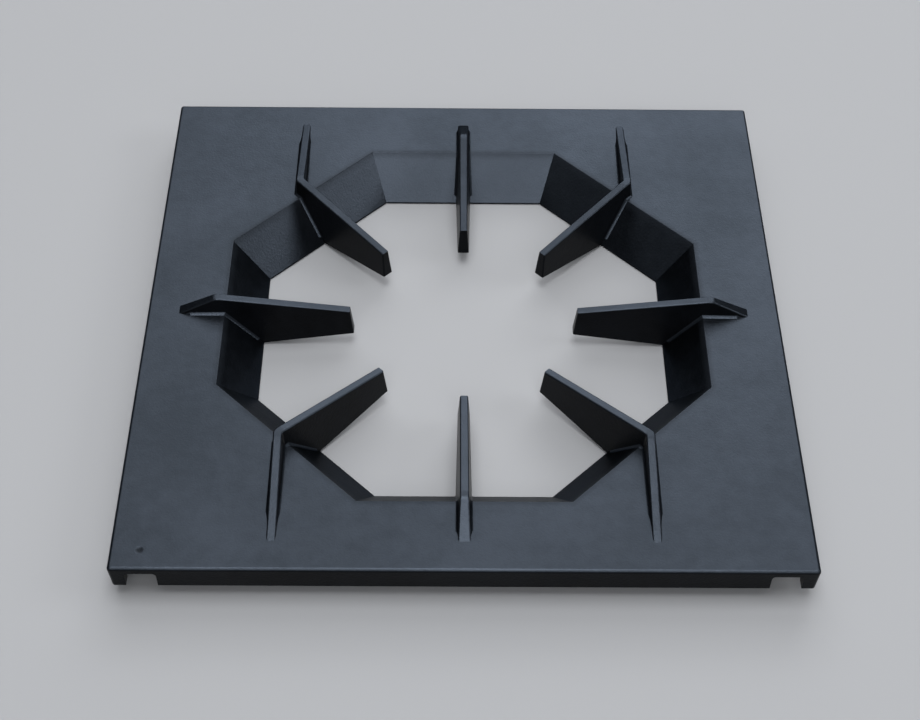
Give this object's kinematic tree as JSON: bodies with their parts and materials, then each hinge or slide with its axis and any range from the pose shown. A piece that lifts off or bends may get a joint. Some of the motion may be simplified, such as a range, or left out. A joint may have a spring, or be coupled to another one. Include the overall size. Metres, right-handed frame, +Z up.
{
  "type": "hob pan support",
  "caption": "Square cast-iron pan support for an open gas burner: skirted plate, octagonal funnel collar and drafted ribs that reach in over the flame.",
  "frame": {"origin": "under the middle of the burner opening, level with the collar's lower edge", "axes": "+Z up towards the pan, +X to the right and +Y to the back of the hob"},
  "size_m": [0.4, 0.4, 0.039],
  "materials": {
    "casting": "blacked as-cast iron, matt, slightly blue-grey"
  },
  "bodies": {
    "root": {"pan_support": "casting"}
  },
  "joints": []
}
